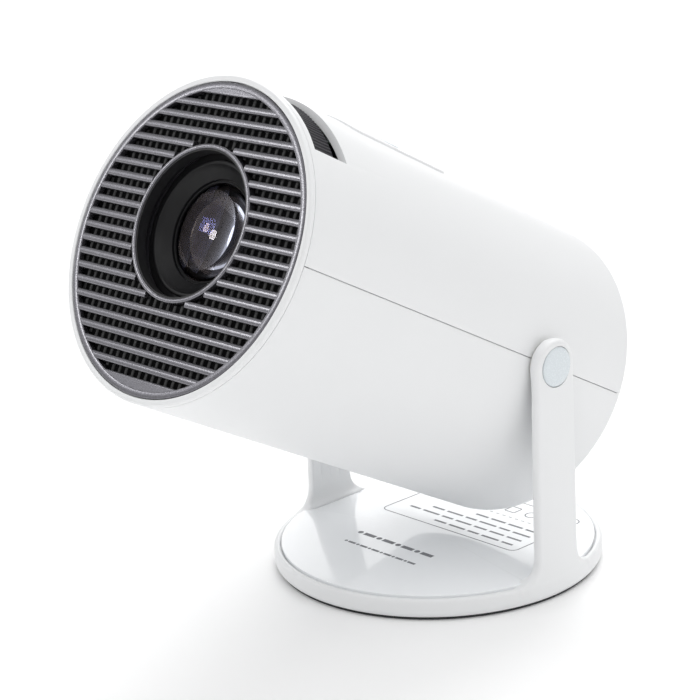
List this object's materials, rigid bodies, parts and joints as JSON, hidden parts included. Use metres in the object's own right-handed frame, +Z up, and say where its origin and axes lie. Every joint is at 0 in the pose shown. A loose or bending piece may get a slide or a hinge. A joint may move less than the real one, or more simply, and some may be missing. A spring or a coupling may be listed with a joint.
{
  "type": "home projector",
  "caption": "Tube-shaped home projector with a slatted front grille, recessed lens and focus wheel, tilting between two arms on a round weighted base.",
  "frame": {"origin": "centre of the foot pad, on the table", "axes": "+Z up, the lens looks towards -Y, +X is to the right of someone who faces the lens; the body is stored tilted nose up by 28.2 degrees"},
  "size_m": [0.1198, 0.1973, 0.1882],
  "materials": {
    "white_shell": "satin",
    "white_gloss": "gloss",
    "cap_grey": "satin",
    "grille_grey": "satin",
    "black_plastic": "matt",
    "charcoal": "matt",
    "lens_glass": "coated",
    "optic_glass": "clear",
    "board_green": "satin",
    "aluminium": "matt",
    "steel": "satin",
    "nylon": "matt",
    "rubber": "matt"
  },
  "bodies": {
    "stand": {"base_frame": "white_shell", "base_top_plate": "white_gloss", "base_ballast": "steel", "base_bottom_cover": "white_shell", "foot_pad": "rubber", "base_screw_1": "steel", "base_screw_2": "steel", "base_screw_3": "steel", "arm_left": "white_shell", "pivot_screw_left": "steel", "friction_washer_left": "nylon", "arm_cap_left": "cap_grey", "arm_right": "white_shell", "pivot_screw_right": "steel", "friction_washer_right": "nylon", "arm_cap_right": "cap_grey"},
    "housing": {"upper_shell": "white_shell", "lower_shell": "white_shell", "pivot_hub_left": "steel", "pivot_hub_right": "steel", "front_bezel": "white_shell", "front_grille": "grille_grey", "grille_mesh": "black_plastic", "lens_mount": "black_plastic", "optical_housing": "black_plastic", "fresnel_front": "optic_glass", "lcd_panel": "optic_glass", "heat_glass": "optic_glass", "fresnel_rear": "optic_glass", "condenser_lens": "optic_glass", "led_module": "aluminium", "heat_sink": "aluminium", "fan_frame": "black_plastic", "main_board": "board_green", "power_board": "board_green", "speaker": "black_plastic", "hdmi_port": "steel", "usb_port": "steel", "audio_jack": "black_plastic", "power_inlet": "black_plastic", "ir_window": "black_plastic", "rear_cover": "white_shell", "rear_screw_1": "steel", "rear_screw_2": "steel", "rear_screw_3": "steel", "rear_screw_4": "steel", "keypad_panel": "white_shell", "keypad_board": "board_green"},
    "focus_wheel": {"focus_ring": "charcoal"},
    "lens_assembly": {"lens_barrel": "black_plastic", "front_lens": "lens_glass", "middle_lens": "lens_glass", "rear_lens": "lens_glass", "lens_retainer": "black_plastic"},
    "fan": {"fan_rotor": "black_plastic"},
    "key_power": {"key_power": "white_shell"},
    "key_volume_up": {"key_volume_up": "white_shell"},
    "key_volume_down": {"key_volume_down": "white_shell"},
    "key_back": {"key_back": "white_shell"},
    "key_forward": {"key_forward": "white_shell"}
  },
  "joints": [
    {"name": "tilt", "type": "hinge", "parent": "stand", "child": "housing", "pos_m": [0, 0, 0.08307], "axis": [-1, 0, 0], "range_deg": [-36.2, 151.8]},
    {"name": "focus_turn", "type": "hinge", "parent": "housing", "child": "focus_wheel", "pos_m": [0, 0.00246, 0.08766], "axis": [0, -0.8813, 0.4726], "range_deg": [-60, 60]},
    {"name": "lens_travel", "type": "slide", "parent": "housing", "child": "lens_assembly", "axis": [0, -0.8813, 0.4726], "range_m": [-0.003, 0.003]},
    {"name": "fan_spin", "type": "hinge", "parent": "housing", "child": "fan", "pos_m": [0, 0.00425, 0.09101], "axis": [0, 0.8813, -0.4726], "continuous": true},
    {"name": "key_power_press", "type": "slide", "parent": "housing", "child": "key_power", "axis": [0, -0.4726, -0.8813], "range_m": [0, 0.0005], "stiffness_N_per_m": 400, "springref_m": -0.001},
    {"name": "key_volume_up_press", "type": "slide", "parent": "housing", "child": "key_volume_up", "axis": [0, -0.4726, -0.8813], "range_m": [0, 0.0005], "stiffness_N_per_m": 400, "springref_m": -0.001},
    {"name": "key_volume_down_press", "type": "slide", "parent": "housing", "child": "key_volume_down", "axis": [0, -0.4726, -0.8813], "range_m": [0, 0.0005], "stiffness_N_per_m": 400, "springref_m": -0.001},
    {"name": "key_back_press", "type": "slide", "parent": "housing", "child": "key_back", "axis": [0.2001, -0.463, -0.8635], "range_m": [0, 0.0005], "stiffness_N_per_m": 400, "springref_m": -0.001},
    {"name": "key_forward_press", "type": "slide", "parent": "housing", "child": "key_forward", "axis": [-0.2001, -0.463, -0.8635], "range_m": [0, 0.0005], "stiffness_N_per_m": 400, "springref_m": -0.001}
  ],
  "couplings": [
    {"joint": "lens_travel", "follows": "focus_turn", "m_per_rad": 0.002864}
  ]
}
